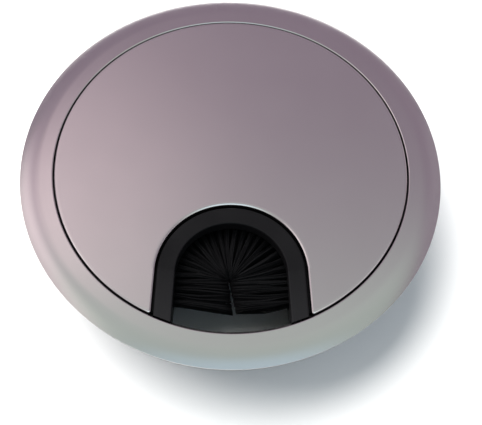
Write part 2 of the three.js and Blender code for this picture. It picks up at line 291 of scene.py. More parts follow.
def grid_faces(rows, columns, closed_rows, closed_columns):
    """Quads between rows of vertices, each row with the same number of columns."""
    faces = []
    for i in range(rows if closed_rows else rows - 1):
        for j in range(columns if closed_columns else columns - 1):
            a, b = i * columns, (i + 1) % rows * columns
            k = (j + 1) % columns
            faces.append((a + j, a + k, b + k, b + j))
    return faces


def lathe(name, profile, material, steps=192, on_axis=False):
    """Solid of revolution of a profile of (radius, height), closed or with both ends on the axis."""
    body = profile[1:-1] if on_axis else profile
    vertices = []
    for i in range(steps):
        angle = 2 * math.pi * i / steps
        vertices += [(r * math.cos(angle), r * math.sin(angle), z) for r, z in body]
    count = len(body)
    faces = grid_faces(steps, count, True, not on_axis)
    if on_axis:
        first, last = len(vertices), len(vertices) + 1
        vertices += [(0, 0, profile[0][1]), (0, 0, profile[-1][1])]
        for i in range(steps):
            here, there = i * count, (i + 1) % steps * count
            faces.append((first, here, there))
            faces.append((last, there + count - 1, here + count - 1))
    return piece(name, vertices, faces, material)


def sweep_u(name, section, end, material):
    """Closed section of (radius, height) swept along the U; end(radius, height) gives its right foot."""
    lines = [u_line(radius, end(radius, height)) for radius, height in section]
    count = len(section)
    vertices = []
    for i in range(len(lines[0])):
        vertices += [(*lines[j][i], section[j][1]) for j in range(count)]
    faces = grid_faces(len(lines[0]), count, False, True)
    last = len(vertices) - count
    faces.append(tuple(range(count)))
    faces.append(tuple(reversed(range(last, last + count))))
    return piece(name, vertices, faces, material)


def stack(name, loops, material):
    """Solid between outlines with the same number of points, each given as (outline, height), top first."""
    count = len(loops[0][0])
    vertices = [(*point, height) for outline, height in loops for point in outline]
    faces = grid_faces(len(loops), count, False, True)
    faces.append(tuple(reversed(range(count))))
    last = len(vertices) - count
    faces.append(tuple(range(last, last + count)))
    return piece(name, vertices, faces, material)


def block(low, high, material):
    """Plain box used as a tool for cutting or joining."""
    outline = [(low[0], low[1]), (high[0], low[1]), (high[0], high[1]), (low[0], high[1])]
    return stack("tool", [(outline, high[2]), (outline, low[2])], material)


def disc(centre, profile, material, steps):
    """Small turned solid standing at a place in plan."""
    made = lathe("tool", profile, material, steps, on_axis=True)
    made.data.transform(Matrix.Translation(Vector((*centre, 0)) * MM))
    return made


def at_screws(profile, material, steps):
    """The same turned solid at each screw."""
    return [disc(centre, profile, material, steps) for centre in SCREW_CENTRES]


def combine(base, tools, operation):
    """Joins the tools to the base or cuts them out of it, and removes them."""
    for tool in tools:
        fix_normals(tool)
    fix_normals(base)
    for tool in tools:
        modifier = base.modifiers.new("combine", "BOOLEAN")
        modifier.operation = operation
        modifier.solver = "MANIFOLD"
        modifier.object = tool
    apply_modifiers(base)
    for tool in tools:
        bpy.data.objects.remove(tool)
    return base


def apply_modifiers(obj):
    graph = bpy.context.evaluated_depsgraph_get()
    mesh = bpy.data.meshes.new_from_object(obj.evaluated_get(graph))
    obj.modifiers.clear()
    obj.data = mesh


def fix_normals(obj):
    """Turns all faces outwards."""
    made = bmesh.new()
    made.from_mesh(obj.data)
    bmesh.ops.recalc_face_normals(made, faces=made.faces)
    made.to_mesh(obj.data)
    made.free()


def finish_piece(obj, name, body, nodes, sharp=32):
    """Smooth shading and the piece's place in the frame; sharp is the angle of a sharp edge in degrees."""
    obj.name = name
    obj.data.name = name
    fix_normals(obj)
    obj.data.shade_smooth()
    obj.data.set_sharp_from_angle(angle=math.radians(sharp))
    weighted = obj.modifiers.new("weighted_normals", "WEIGHTED_NORMAL")
    weighted.keep_sharp = True
    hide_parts(*nodes)
    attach(obj, body)
    return obj


# ---- Materials ----

def new_material(name):
    """Node material with a Principled shader; returns the material, its tree and the shader."""
    material = bpy.data.materials.new(name)
    material.use_nodes = True
    tree = material.node_tree
    return material, tree, tree.nodes["Principled BSDF"]


def node(tree, kind, inputs=None, **settings):
    made = tree.nodes.new(kind)
    for key, value in settings.items():
        setattr(made, key, value)
    for key, value in (inputs or {}).items():
        if isinstance(value, bpy.types.NodeSocket):
            tree.links.new(value, made.inputs[key])
        else:
            made.inputs[key].default_value = value
    return made


def noise(tree, scale, detail=4.0, stretch=(1, 1, 1)):
    """Noise over the object's own coordinates; scale is in features for each metre."""
    place = node(tree, "ShaderNodeTexCoord").outputs["Object"]
    if stretch != (1, 1, 1):
        place = node(tree, "ShaderNodeMapping", {"Vector": place, "Scale": stretch}).outputs["Vector"]
    inputs = {"Vector": place, "Scale": scale, "Detail": detail}
    return node(tree, "ShaderNodeTexNoise", inputs).outputs["Fac"]


def spread(tree, value, low, high, start=0.3, stop=0.7):
    """Maps a value from start..stop to low..high."""
    inputs = {"Value": value, "From Min": start, "From Max": stop, "To Min": low, "To Max": high}
    return node(tree, "ShaderNodeMapRange", inputs).outputs["Result"]


def blend_colours(tree, factor, first, second):
    mix = node(tree, "ShaderNodeMix", {"Factor": factor}, data_type="RGBA")
    for socket, colour in (("A_Color", first), ("B_Color", second)):
        target = next(s for s in mix.inputs if s.identifier == socket)
        if isinstance(colour, bpy.types.NodeSocket):
            tree.links.new(colour, target)
        else:
            target.default_value = (*colour, 1)
    return next(s for s in mix.outputs if s.identifier == "Result_Color")


def math_node(tree, operation, first, second):
    return node(tree, "ShaderNodeMath", {0: first, 1: second}, operation=operation).outputs[0]


def bump(tree, height, distance, strength=1.0, normal=None):
    """Bump of a height map; distance is in millimetres."""
    inputs = {"Height": height, "Distance": distance * MM, "Strength": strength}
    if normal is not None:
        inputs["Normal"] = normal
    return node(tree, "ShaderNodeBump", inputs).outputs["Normal"]


def edge_wear(tree):
    """Near 1 on outer edges and 0 on faces."""
    point = node(tree, "ShaderNodeNewGeometry").outputs["Pointiness"]
    return spread(tree, point, 0.0, 1.0, 0.52, 0.6)


def surface(tree, shader, colour, rough, normal, metallic=0.0):
    """Joins the colour, roughness and normal to the shader."""
    tree.links.new(colour, shader.inputs["Base Color"])
    tree.links.new(rough, shader.inputs["Roughness"])
    tree.links.new(normal, shader.inputs["Normal"])
    shader.inputs["Metallic"].default_value = metallic


def satin_nickel(name, polish_and_painted_highlight_below, casting_and_painted_shade_below):
    """Satin plate over a fine blasted grain, with a painted highlight along its edges and painted shade lower
    down.

    The edges are what lies below the first height: there the plate is painted brighter, a painted highlight,
    and is a little smoother, as if polished by handling. Below the second height it turns dark, dull and
    rough with
    pits: painted shade on the rim's lip and on the walls in the gaps round the lid, and a raw cast look
    elsewhere.
    """
    material, tree, shader = new_material(name)
    place = node(tree, "ShaderNodeTexCoord").outputs["Object"]
    height = node(tree, "ShaderNodeSeparateXYZ", {"Vector": place}).outputs["Z"]
    # Painted highlight: below the first height, along the edges, the plate is painted brighter; it is also a
    # little smoother from handling.
    polish_and_painted_highlight = spread(tree, height, 1.0, 0.0, (polish_and_painted_highlight_below - 0.05) * MM, polish_and_painted_highlight_below * MM)
    # Painted shade: below the second height the plate turns dark and dull, on the rim's lip and on the walls
    # in the gaps round the lid.
    casting_and_painted_shade = spread(tree, height, 1.0, 0.0, (casting_and_painted_shade_below - 0.3) * MM, casting_and_painted_shade_below * MM)
    cloud = spread(tree, noise(tree, 45, 3), 0, 1)
    grain = noise(tree, 5200, 3)
    pits = noise(tree, 900, 6)

    colour = blend_colours(tree, cloud, (0.86, 0.84, 0.84), (0.88, 0.86, 0.86))
    # Painted highlight colour on the edges.
    colour = blend_colours(tree, polish_and_painted_highlight, colour, (0.95, 0.94, 0.93))
    # Painted shade colour, dark like raw casting.
    casting_and_painted_shade_colour = blend_colours(tree, pits, (0.10, 0.10, 0.104), (0.17, 0.17, 0.175))
    colour = blend_colours(tree, casting_and_painted_shade, colour, casting_and_painted_shade_colour)

    smudge = spread(tree, noise(tree, 160, 5), 0.235, 0.25)
    rough = math_node(tree, "ADD", smudge, spread(tree, grain, -0.015, 0.02))
    rough = math_node(tree, "ADD", rough, math_node(tree, "MULTIPLY", polish_and_painted_highlight, -0.05))
    rough = math_node(tree, "ADD", rough, math_node(tree, "MULTIPLY", casting_and_painted_shade, 0.24))

    normal = bump(tree, grain, 0.0012, 0.4)
    normal = bump(tree, math_node(tree, "MULTIPLY", pits, casting_and_painted_shade), 0.02, 0.6, normal)
    surface(tree, shader, colour, rough, normal, metallic=1.0)
    return material


def moulded_plastic():
    """Black plastic with a fine spark-eroded texture."""
    material, tree, shader = new_material("moulded_plastic")
    grain = noise(tree, 4200, 2)
    cloud = spread(tree, noise(tree, 120, 3), 0, 1)
    colour = blend_colours(tree, cloud, (0.0035, 0.0035, 0.004), (0.005, 0.005, 0.0055))
    colour = blend_colours(tree, edge_wear(tree), colour, (0.011, 0.011, 0.012))
    shader.inputs["Specular IOR Level"].default_value = 0.18
    surface(tree, shader, colour, spread(tree, grain, 0.44, 0.58), bump(tree, grain, 0.004, 0.5))
    return material


def nylon():
    """Black nylon filament; each one has its own shade and gloss."""
    material, tree, shader = new_material("nylon")
    each = node(tree, "ShaderNodeNewGeometry").outputs["Random Per Island"]
    colour = blend_colours(tree, each, (0.0008, 0.0008, 0.001), (0.005, 0.005, 0.0055))
    streak = spread(tree, noise(tree, 900, 3), -0.04, 0.06)
    rough = math_node(tree, "ADD", spread(tree, each, 0.30, 0.44, 0, 1), streak)
    shader.inputs["Specular IOR Level"].default_value = 0.08
    surface(tree, shader, colour, rough, bump(tree, noise(tree, 6000, 2), 0.002, 0.4))
    return material


def galvanised():
    """Zinc-coated strip with a faint spangle."""
    material, tree, shader = new_material("galvanised")
    place = node(tree, "ShaderNodeTexCoord").outputs["Object"]
    spangle = node(tree, "ShaderNodeTexVoronoi", {"Vector": place, "Scale": 700.0}).outputs["Color"]
    shade = node(tree, "ShaderNodeSeparateColor", {"Color": spangle}).outputs["Red"]
    colour = blend_colours(tree, shade, (0.26, 0.27, 0.28), (0.38, 0.39, 0.40))
    rough = spread(tree, shade, 0.32, 0.5, 0, 1)
    surface(tree, shader, colour, rough, bump(tree, noise(tree, 2500, 3), 0.004, 0.4), metallic=1.0)
    return material


def screw_steel():
    """Bright zinc-plated steel with fine turning marks."""
    material, tree, shader = new_material("screw_steel")
    turning = noise(tree, 500, 3, stretch=(1, 1, 14))
    colour = blend_colours(tree, turning, (0.50, 0.50, 0.52), (0.62, 0.61, 0.59))
    rough = spread(tree, noise(tree, 1500, 4), 0.2, 0.34)
    surface(tree, shader, colour, rough, bump(tree, turning, 0.006, 0.4), metallic=1.0)
    return material


def seat_rubber():
    """Matt black rubber with a dusty bloom."""
    material, tree, shader = new_material("seat_rubber")
    dust = noise(tree, 600, 5)
    colour = blend_colours(tree, spread(tree, dust, 0, 1), (0.008, 0.008, 0.008), (0.02, 0.02, 0.02))
    surface(tree, shader, colour, spread(tree, dust, 0.7, 0.9), bump(tree, dust, 0.006, 0.5))
    return material


# ---- Pieces ----

def flange_top():
    """Top of the flange from its rim inwards: an arc that turns from the rim's tilt into the gentle slope."""
    bend = (TOP - FLANGE_DROP - RIM_EDGE) / (math.cos(FLANGE_SLOPE) - math.cos(RIM_TILT))
    steps = 16
    points = []
    for i in range(steps + 1):
        tilt = RIM_TILT + (FLANGE_SLOPE - RIM_TILT) * i / steps
        radius = FLANGE_RADIUS - bend * (math.sin(RIM_TILT) - math.sin(tilt))
        points.append((radius, RIM_EDGE + bend * (math.cos(tilt) - math.cos(RIM_TILT))))
    return points


def housing_profile():
    """Half section of the casting; each corner is a radius, a height and its rounding."""
    top = flange_top()
    below = rounded([
        (LEDGE_RADIUS, LEDGE_TOP, 0.15),
        (LEDGE_RADIUS, LEDGE_BOTTOM, 0.3),
        (SLEEVE_BORE, LEDGE_BOTTOM - LEDGE_RAMP, 0.5),
        (SLEEVE_BORE, 0, 0.25),
        (SLEEVE_RADIUS, 0, 0.35),
        (SLEEVE_RADIUS, HOLLOW_ROOF, 0.4),
        (HOLLOW_OUTER - 0.3, HOLLOW_ROOF, 0.4),
        (HOLLOW_OUTER, DESK, 0.12),
        (FLANGE_RADIUS - RIM_UNDERCUT, DESK, RIM_ROUND),
        (FLANGE_RADIUS, RIM_EDGE - RIM_ROUND, RIM_ROUND),
        (*top[0], 0),
    ])[:-1]
    mouth = rounded([
        (*top[-1], 0),
        (MOUTH_RADIUS, TOP - 0.03, 0.22),
        (MOUTH_RADIUS, TOP - MOUTH_DEPTH, 0.05),
        (POCKET_RADIUS, TOP - MOUTH_DEPTH - 0.3, 0.05),
        (POCKET_RADIUS, LEDGE_TOP, 0.1),
    ])[1:]
    return below + top + mouth


def shift_mouth(body):
    """Moves the pocket's mouth towards the front, so that the gap round the lid is wider there."""
    for vertex in body.data.vertices:
        x, y, z = vertex.co / MM
        if z > TOP - MOUTH_DEPTH - 0.1 and math.hypot(x, y) < MOUTH_RADIUS + 0.35:
            vertex.co.y += MOUTH_SHIFT * MM


def turned(share):
    """Rotation about the Z axis by a share of a full turn."""
    return Matrix.Rotation(2 * math.pi * share, 4, "Z")


def grip_ribs(material):
    """Ribs down the sleeve that grip the desk, each tapered at its foot."""
    full = [(RIB_ROOT + x, y) for x, y in RIB_SECTION]
    foot = [(RIB_ROOT + x * 0.45, y * 0.6) for x, y in RIB_SECTION]
    ribs = []
    for i in range(RIBS):
        loops = [(full, HOLLOW_ROOF + OVERLAP), (full, RIB_FULL), (foot, RIB_FOOT)]
        ribs.append(stack("tool", loops, material))
        ribs[-1].data.transform(turned((i + 0.5) / RIBS))
    return ribs


def flange_webs(material):
    """Thin webs across the hollow under the flange."""
    low = (SLEEVE_RADIUS - OVERLAP, -WEB_HALF, DESK + 0.35)
    high = (HOLLOW_OUTER + OVERLAP, WEB_HALF, HOLLOW_ROOF + OVERLAP)
    webs = []
    for i in range(2 * RIBS):
        webs.append(block(low, high, material))
        webs[-1].data.transform(turned((i + 0.25) / (2 * RIBS)))
    return webs


def make_housing(material):
    """Flange, pocket, ledge and ribbed sleeve in one casting."""
    body = lathe("housing", housing_profile(), material, steps=240)
    shift_mouth(body)
    combine(body, grip_ribs(material) + flange_webs(material), "UNION")
    finish_piece(body, "flange_casting", "housing", ["flange_housing"])


def lid_outline(inset=0.0):
    """Disc with the notch cut out of it, anticlockwise, drawn in from every edge by the inset."""
    radius, notch = LID_RADIUS - inset, NOTCH_RADIUS + inset
    foot = leg_end_on_circle(notch, radius)
    angle = math.atan2(foot.y, foot.x)
    rim = arc((0, 0), radius, angle, math.pi - angle, 220)
    arch = arc((0, ARCH_Y), notch, math.pi - FLARE, FLARE, 90)
    corner = max(LID_CORNER - inset, 0.05)
    corners = [(x, y, 0) for x, y in rim[1:-1]]
    corners.append((-foot.x, foot.y, corner))
    corners += [(x, y, 0) for x, y in arch]
    corners.append((foot.x, foot.y, corner))
    return rounded(corners, 6)


def lid_shell(material):
    """The lid without what stands under it: chamfered edge, thin plate and a wall round it."""
    edge = rounded([
        (LID_CHAMFER + 0.5, TOP, 0),
        (LID_CHAMFER, TOP, EDGE_ROUND),
        (0, TOP - LID_CHAMFER, EDGE_ROUND),
        (0, LID_BOTTOM + LID_FOOT_CHAMFER, 0),
    ])
    loops = [(lid_outline(inset), height) for inset, height in edge]
    loops.append((lid_outline(LID_FOOT_CHAMFER), LID_BOTTOM))
    shell = stack("lid", loops, material)
    roof = lid_outline(LID_WALL + POCKET_CHAMFER)
    pocket = lid_outline(LID_WALL)
    loops = [(roof, PLATE_BOTTOM), (pocket, PLATE_BOTTOM - POCKET_CHAMFER), (pocket, LID_BOTTOM - 1)]
    return combine(shell, [stack("tool", loops, material)], "DIFFERENCE")


def lid_ribs(roof, material):
    """Straight ribs from the hub to the lid's wall."""
    ribs = []
    for degrees in LID_RIB_ANGLES:
        low = (HUB_RADIUS - 0.6, -LID_RIB_HALF, LID_BOTTOM)
        ribs.append(block(low, (LID_RADIUS - 1, LID_RIB_HALF, roof), material))
        ribs[-1].data.transform(Matrix.Rotation(math.radians(degrees), 4, "Z"))
    return ribs


def make_lid(material):
    """Flush lid: its shell, and the ribs, hub and screw bosses under it."""
    roof = PLATE_BOTTOM + LID_OVERLAP
    inside = HUB_RADIUS - HUB_WALL
    hub = [(inside, LID_BOTTOM), (HUB_RADIUS, LID_BOTTOM), (HUB_RADIUS, roof), (inside, roof)]
    low = CLAMP_HIGH + FIT_GAP
    boss = [(0, low), (BOSS_RADIUS - 0.2, low), (BOSS_RADIUS, low + 0.2),
            (BOSS_RADIUS + 0.03, PLATE_BOTTOM - 0.3), (BOSS_RADIUS + 0.33, PLATE_BOTTOM + 0.02),
            (BOSS_RADIUS + 0.33, roof), (0, roof)]
    pilot = [(0, CLAMP_HIGH - 1), (PILOT_RADIUS, CLAMP_HIGH - 1), (PILOT_RADIUS, TOP - 2.4), (0, TOP - 2)]
    body = lid_shell(material)
    tools = lid_ribs(roof, material)
    tools.append(lathe("tool", hub, material, 96))
    combine(body, tools + at_screws(boss, material, 40), "UNION")
    combine(body, at_screws(pilot, material, 32), "DIFFERENCE")
    finish_piece(body, "lid_cover", "lid", ["lid_disc"])


def make_seat_ring(material):
    inner = SEAT_OUTER - 0.95
    section = rounded([(inner, SEAT_LOW, 0.1), (SEAT_OUTER, SEAT_LOW, 0.1), (SEAT_OUTER, SEAT_HIGH, 0.14),
                       (inner, SEAT_HIGH, 0.14)])
    ring = lathe("seat", section, material)
    finish_piece(ring, "rubber_seat", "seat", ["seat_ring"])


def ears(low, high, material):
    """Round ears under the lid at the screws, with a small rounding above and below."""
    radius = EAR_RADIUS
    profile = [(0, low), (radius - 0.2, low), (radius - 0.06, low + 0.06), (radius, low + 0.2),
               (radius, high - 0.2), (radius - 0.06, high - 0.06), (radius - 0.2, high), (0, high)]
    return at_screws(profile, material, 56)


def groove_stop(side, low, high, material):
    """Closes one end of the brush's groove in front of the channel; side is 1 for right, -1 for left."""
    radii = (COLLAR_INNER + 0.02, CHANNEL_BACK + 0.3)
    inner, outer = (leg_end_at_y(radius, CHANNEL_END_Y - 0.1) for radius in radii)
    near, far = (leg_end_on_circle(radius, FRAME_REACH - 0.02) for radius in radii)
    outline = [(point.x * side, point.y) for point in (inner, near, far, outer)]
    if side < 0:
        outline.reverse()
    return stack("tool", [(outline, high), (outline, low)], material)


def make_frame(material):
    """Collar in the notch with the brush's groove under it, and ears for the lid's bosses."""
    roof = CHANNEL_HIGH + 0.1
    low = CLAMP_HIGH + FIT_GAP
    step = SEAT_HIGH + FIT_GAP
    back = CHANNEL_BACK + 0.1

    def foot(radius, height):
        return leg_end_on_circle(radius, LID_RADIUS if height > step - 0.01 else FRAME_REACH)

    section = rounded([
        (COLLAR_INNER, roof, 0.15),
        (COLLAR_INNER, step - 0.1, 0),
        (COLLAR_INNER, step, 0),
        (COLLAR_INNER, COLLAR_TOP, 0.3),
        (COLLAR_OUTER, COLLAR_TOP, 0.45),
        (COLLAR_OUTER, step, 0),
        (COLLAR_OUTER, step - 0.1, 0),
        (COLLAR_OUTER, FRAME_WEB_TOP, 0.08),
        (FRAME_OUTER, FRAME_WEB_TOP, 0.2),
        (FRAME_OUTER, low, 0.15),
        (back, low, 0.1),
        (back, roof, 0.1),
    ], 5)
    body = sweep_u("frame", section, foot, material)
    stops = [groove_stop(side, low + 0.02, roof + 0.2, material) for side in (1, -1)]
    combine(body, ears(FRAME_WEB_TOP - 1.7, FRAME_WEB_TOP - 0.02, material) + stops, "UNION")
    socket = [(0, 0), (BOSS_RADIUS + 0.2, 0), (BOSS_RADIUS + 0.2, TOP), (0, TOP)]
    combine(body, at_screws(socket, material, 40), "DIFFERENCE")
    keep_clear_of_notch(body, material, low - 1, FRAME_WEB_TOP + 0.05)
    finish_piece(body, "brush_collar", "lid", ["brush_frame"])


def keep_clear_of_notch(body, material, low, high):
    """Cuts away what reaches into the cable's way inside the collar."""
    outline = u_line(COLLAR_INNER, Vector((COLLAR_INNER + 1, -50)))
    combine(body, [stack("tool", [(outline, high), (outline, low)], material)], "DIFFERENCE")


def make_clamp(material):
    """Plate that closes the groove from below, screwed to the bosses."""
    section = rounded([
        (COLLAR_INNER, CLAMP_LOW, 0.3),
        (FRAME_OUTER, CLAMP_LOW, 0.3),
        (FRAME_OUTER, CLAMP_HIGH, 0.12),
        (COLLAR_INNER, CLAMP_HIGH, 0.2),
    ])
    body = sweep_u("clamp", section, lambda radius, height: leg_end_on_circle(radius, FRAME_REACH), material)
    combine(body, ears(CLAMP_LOW + 0.02, CLAMP_HIGH - 0.02, material), "UNION")
    mouth = CLAMP_HOLE + CLAMP_COUNTERSINK
    hole = [(0, CLAMP_LOW - 1), (mouth, CLAMP_LOW - 1), (mouth, CLAMP_LOW),
            (CLAMP_HOLE, CLAMP_LOW + CLAMP_COUNTERSINK), (CLAMP_HOLE, CLAMP_HIGH + 1), (0, CLAMP_HIGH + 1)]
    combine(body, at_screws(hole, material, 40), "DIFFERENCE")
    finish_piece(body, "brush_clamp_plate", "lid", ["brush_clamp"])


def make_channel(material):
    """Strip folded into a channel, its lips turned a little towards the filaments."""
    low, high, sheet = CHANNEL_LOW, CHANNEL_HIGH, CHANNEL_SHEET
    section = rounded([
        (CHANNEL_MOUTH, low + 0.1, 0.12),
        (CHANNEL_MOUTH + 0.5, low, 0.6),
        (CHANNEL_BACK, low, 0.75),
        (CHANNEL_BACK, high, 0.75),
        (CHANNEL_MOUTH + 0.5, high, 0.6),
        (CHANNEL_MOUTH, high - 0.1, 0.12),
        (CHANNEL_MOUTH, high - 0.1 - sheet, 0.12),
        (CHANNEL_MOUTH + 0.5, high - sheet, 0.3),
        (CHANNEL_BACK - sheet, high - sheet, 0.35),
        (CHANNEL_BACK - sheet, low + sheet, 0.35),
        (CHANNEL_MOUTH + 0.5, low + sheet, 0.3),
        (CHANNEL_MOUTH, low + 0.1 + sheet, 0.12),
    ])
    body = sweep_u("channel", section, lambda radius, height: leg_end_at_y(radius, CHANNEL_END_Y), material)
    finish_piece(body, "folded_channel", "lid", ["brush_channel"])


def make_wire(material):
    section = [(WIRE_LINE + x, LEVEL + z) for x, z in arc((0, 0), WIRE_RADIUS, 0, 2 * math.pi, 16)[:-1]]
    body = sweep_u("wire", section, lambda radius, height: leg_end_at_y(radius, WIRE_END_Y), material)
    finish_piece(body, "core_wire", "lid", ["brush_core_wire"], sharp=60)


def thread_radius(z, share, low, high):
    """Radius of the thread at a height and a share of the turn; it fades out at both ends."""
    phase = (z / THREAD_PITCH - share) % 1
    crest = max(0.0, 1 - abs(phase - 0.5) * 4)
    fade = max(0.0, min(1.0, (z - low) / THREAD_FADE, (high - z) / THREAD_FADE))
    return THREAD_CORE + THREAD_DEPTH * crest * fade


def screw_rows(radius):
    """Height and radii of each row of the screw's vertices, from its head to its point."""
    seat = SCREW_LOW + HEAD_HEIGHT
    end = SCREW_HIGH - SCREW_POINT
    head = [(radius * 0.25, SCREW_LOW), (radius * 0.6, SCREW_LOW + 0.06), (radius * 0.84, SCREW_LOW + 0.3),
            (radius * 0.97, SCREW_LOW + 0.7), (radius, SCREW_LOW + 1.05), (radius, seat - 0.12),
            (radius - 0.12, seat), (1.02, seat)]
    rows = [(z, [r] * SCREW_COLUMNS) for r, z in head]
    for i in range(THREAD_ROWS + 1):
        z = seat + (end - seat) * i / THREAD_ROWS
        rows.append((z, [thread_radius(z, j / SCREW_COLUMNS, seat, end) for j in range(SCREW_COLUMNS)]))
    rows += [(z, [r] * SCREW_COLUMNS) for r, z in ((0.62, SCREW_HIGH - 0.45), (0.2, SCREW_HIGH - 0.05))]
    return rows


def cross_recess(turn, material):
    """Tool that cuts the cross in a screw's head: two tapered bars at right angles."""
    x, y = RECESS_HALF_LENGTH, RECESS_HALF_WIDTH
    wide = [(-x, -y), (x, -y), (x, y), (-x, y)]
    deep = [(a * 0.35, b * 0.7) for a, b in wide]
    bars = []
    for extra in (0, math.pi / 2):
        loops = [(deep, SCREW_LOW + 0.95), (wide, SCREW_LOW + 0.25), (wide, SCREW_LOW - 1)]
        bars.append(stack("tool", loops, material))
        bars[-1].data.transform(Matrix.Rotation(turn + extra, 4, "Z"))
    return combine(bars[0], [bars[1]], "UNION")


def make_screw(node_name, material):
    """Pan-head screw with a cross recess and a cut thread."""
    low, high = box_mm(node_name)
    rows = screw_rows((high.x - low.x) / 2)
    vertices = []
    for z, radii in rows:
        for j, radius in enumerate(radii):
            angle = 2 * math.pi * j / SCREW_COLUMNS
            vertices.append((radius * math.cos(angle), radius * math.sin(angle), z))
    faces = grid_faces(len(rows), SCREW_COLUMNS, False, True)
    first, last = len(vertices), len(vertices) + 1
    vertices += [(0, 0, SCREW_LOW), (0, 0, SCREW_HIGH)]
    end = (len(rows) - 1) * SCREW_COLUMNS
    for j in range(SCREW_COLUMNS):
        k = (j + 1) % SCREW_COLUMNS
        faces.append((first, k, j))
        faces.append((last, end + j, end + k))
    body = piece("screw", vertices, faces, material)
    turn = random.Random(node_name).uniform(0, math.pi)
    combine(body, [cross_recess(turn, material)], "DIFFERENCE")
    body.data.transform(Matrix.Translation(Vector((*plan_centre(node_name), 0)) * MM))
    finish_piece(body, node_name + "_threaded", "lid", [node_name], sharp=40)


# ---- Filaments ----

def tube(path, radii, vertices, faces):
    """Adds a closed tube along a path to the lists."""
    sides = FILAMENT_SIDES
    start = len(vertices)
    count = len(path)
    for i, point in enumerate(path):
        ahead = (path[min(i + 1, count - 1)] - path[max(i - 1, 0)]).normalized()
        side = ahead.cross(Vector((0, 0, 1)))
        if side.length < 1e-6:
            side = Vector((1, 0, 0))
        side.normalize()
        up = side.cross(ahead)
        for k in range(sides):
            angle = 2 * math.pi * k / sides
            vertices.append(point + (side * math.cos(angle) + up * math.sin(angle)) * radii[i])
    for i in range(count - 1):
        for k in range(sides):
            a, b = start + i * sides, start + (i + 1) * sides
            n = (k + 1) % sides
            faces.append((a + k, b + k, b + n, a + n))
    faces.append(tuple(range(start, start + sides)))
    faces.append(tuple(reversed(range(start + (count - 1) * sides, start + count * sides))))


def seam_x(y):
    """The parting line where the filaments of the two legs meet."""
    return SEAM_START + (ARCH_Y - y) * SEAM_SLOPE


def filament_ends(rng, distance):
    """In plan: root in the channel, way out of its mouth, tip near the parting line or arch centre."""
    root, inward = along_u(ROOT_RADIUS, distance)
    if abs(distance) <= ARCH_LENGTH:
        mouth, _ = along_u(CHANNEL_MOUTH, distance * CHANNEL_MOUTH / ROOT_RADIUS)
        tip = ARCH_FOCUS - inward * max(0.3, rng.gauss(1.4, 0.45))
        return root, mouth, tip
    run = abs(distance) - ARCH_LENGTH
    mouth, _ = along_u(CHANNEL_MOUTH, math.copysign(run + MOUTH_ARCH_LENGTH, distance))
    share = run / LEG_LENGTH
    y = mouth.y - 0.25 - 1.2 * share + rng.gauss(0, 0.12)
    gap = 0.14 + 0.14 * share + abs(rng.gauss(0, 0.14))
    tip = Vector((seam_x(y) + math.copysign(gap, distance), y))
    return root, mouth, tip


def filament_path(rng, root_place, tip_place, level, lean, sag):
    """Centre line of one filament; level is -1 at the bottom of the brush and 1 at its top."""
    root, mouth, _ = filament_ends(rng, root_place)
    _, _, tip = filament_ends(rng, tip_place)
    across = tip - mouth
    belly = mouth.lerp(tip, 0.45) + Vector((-across.y, across.x)).normalized() * (lean + rng.gauss(0, 0.12))
    droop = -0.12 + sag + rng.gauss(0, 0.1)
    root_rise = level * ROOT_HALF_HEIGHT
    belly_rise = level * BELLY_HALF_HEIGHT
    return smooth_path([
        Vector((*root, LEVEL + root_rise)),
        Vector((*mouth, LEVEL + level * (ROOT_HALF_HEIGHT + 0.05))),
        Vector((*mouth.lerp(belly, 0.45), LEVEL + (root_rise + belly_rise) / 2)),
        Vector((*belly, LEVEL + belly_rise + sag * 0.5)),
        Vector((*belly.lerp(tip, 0.55), LEVEL + belly_rise + droop * 0.7)),
        Vector((*tip, LEVEL + level * TIP_HALF_HEIGHT + droop)),
    ], FILAMENT_STEPS)


def add_filament(rng, path, vertices, faces):
    thick = FILAMENT * rng.uniform(0.85, 1.15)
    tube(path, [thick] * (len(path) - 1) + [thick * 0.6], vertices, faces)


def make_bank(joint, material):
    """Bank of filaments named by its joint's child: tufts over an even bed, spreading towards the tips."""
    name = joint["child"]
    rng = random.Random(name)
    low, high = bank_span(name)
    tufts = TUFTS_PER_ARCH_BANK if "arch" in name else TUFTS_PER_LEG_BANK
    pitch = (high - low) / tufts
    vertices, faces = [], []
    for t in range(tufts):
        middle = low + pitch * (t + 0.5)
        lean = rng.gauss(0, 0.22)
        sag = rng.gauss(0, 0.2)
        for _ in range(FILAMENTS_PER_TUFT):
            place = rng.uniform(-1, 1)
            level = rng.uniform(-1, 1)
            root_place = middle + place * pitch * (0.34 - 0.14 * level)
            tip_place = max(low, min(high, middle + place * pitch * 0.56))
            path = filament_path(rng, root_place, tip_place, level, lean, sag)
            add_filament(rng, path, vertices, faces)
    bed = tufts * BED_PER_TUFT
    for i in range(bed):
        place = low + (high - low) * (i + 0.5) / bed
        path = filament_path(rng, place, place, rng.uniform(-1, -0.6), 0, -0.1)
        add_filament(rng, path, vertices, faces)
    bank = piece(name + "_filaments", vertices, faces, material)
    bank.data.shade_smooth()
    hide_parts(name)
    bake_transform(bank)


def smooth_path(points, count):
    """Points along a Catmull-Rom curve through the given ones."""
    padded = [points[0] * 2 - points[1], *points, points[-1] * 2 - points[-2]]
    path = []
    for i in range(count):
        place = (len(points) - 1) * i / (count - 1)
        k = min(int(place), len(points) - 2)
        t = place - k
        a, b, c, d = padded[k:k + 4]
        path.append(0.5 * (b * 2 + (c - a) * t + (a * 2 - b * 5 + c * 4 - d) * t * t
                           + (b * 3 - a - c * 3 + d) * t * t * t))
    return path


def bank_span(name):
    """The stretch of the U, from its top, that a bank's roots take."""
    _, kind, place = name.split("_")
    if kind == "arch":
        width = 2 * ARCH_LENGTH / ARCH_BANKS
        high = ARCH_LENGTH - width * (int(place) - 1)
        return high - width, high
    half = LEG_LENGTH / 2
    low = ARCH_LENGTH + (half if place == "front" else 0)
    return (low, low + half) if kind == "right" else (-low - half, -low)


